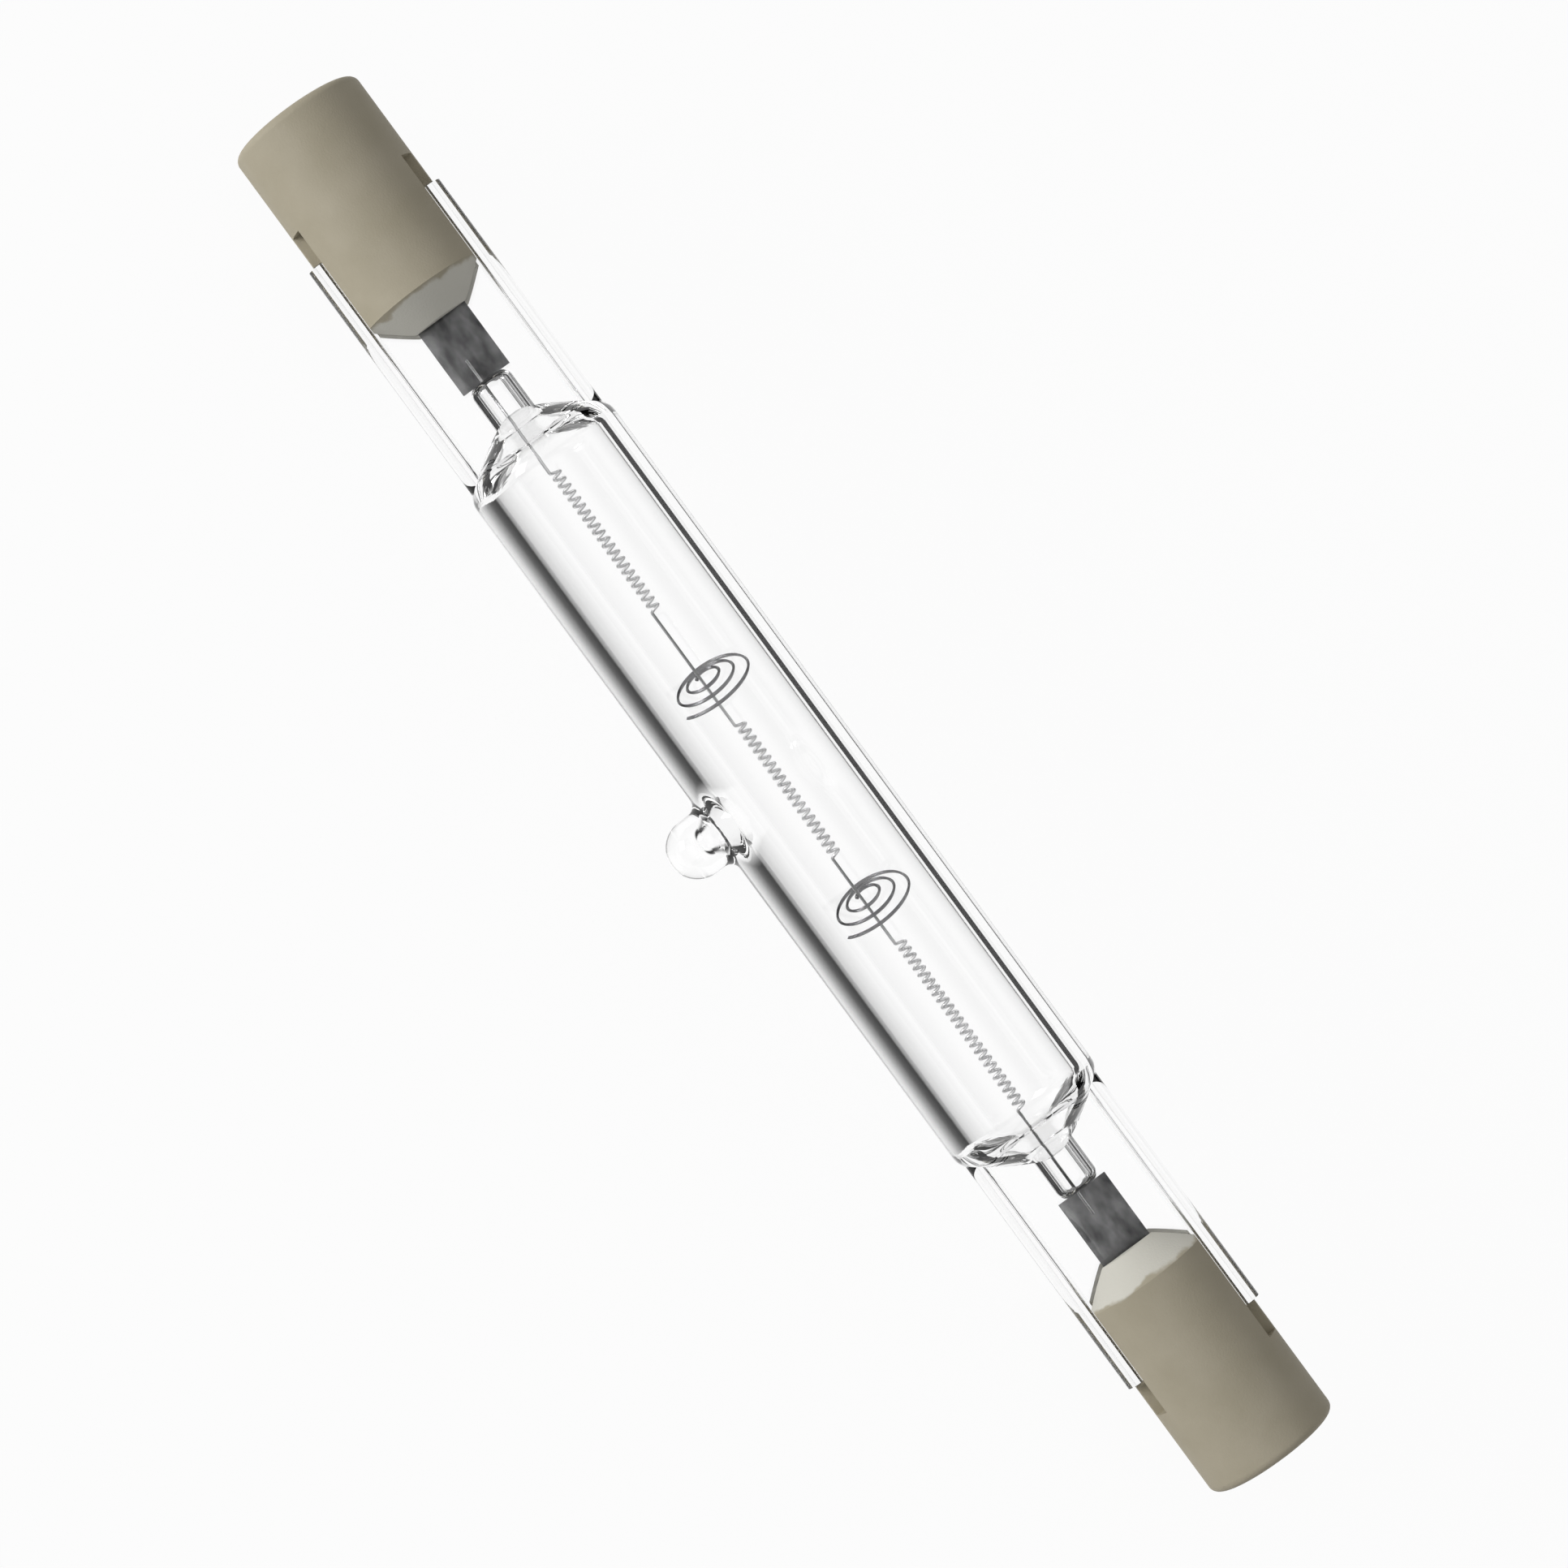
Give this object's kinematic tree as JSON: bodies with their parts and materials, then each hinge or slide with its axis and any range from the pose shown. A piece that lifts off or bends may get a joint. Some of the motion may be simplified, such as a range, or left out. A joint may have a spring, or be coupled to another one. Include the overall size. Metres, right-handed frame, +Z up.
{
  "type": "linear halogen bulb",
  "caption": "Double-ended linear halogen bulb: clear quartz tube with an exhaust tip, flat pinch seals with dark foils, forked ceramic caps and a coiled filament held by wire supports.",
  "frame": {"origin": "on the surface that the bulb rests on, under the middle of its bounding box", "axes": "X runs along the bulb's axis from the left cap to the right cap, Z is up; the bulb is rolled about X so that it lies on its tube and on its exhaust tip, which points to -Y and down"},
  "size_m": [0.0782, 0.01, 0.0081],
  "materials": {
    "quartz": "clear fused quartz, fire-polished",
    "steatite": "matt pressed steatite",
    "contact": "plain nickel-plated",
    "lead": "drawn molybdenum wire",
    "cement": "rough dried cement",
    "foil": "rolled molybdenum, dull",
    "support": "drawn tungsten wire",
    "tungsten": "drawn tungsten wire"
  },
  "bodies": {
    "root": {"quartz_envelope": "quartz", "ceramic_cap_left": "steatite", "contact_left": "contact", "outer_lead_left": "lead", "cement_left": "cement", "moly_foil_left": "foil", "filament_support_left": "support", "ceramic_cap_right": "steatite", "contact_right": "contact", "outer_lead_right": "lead", "cement_right": "cement", "moly_foil_right": "foil", "filament_support_right": "support", "filament": "tungsten"}
  },
  "joints": []
}
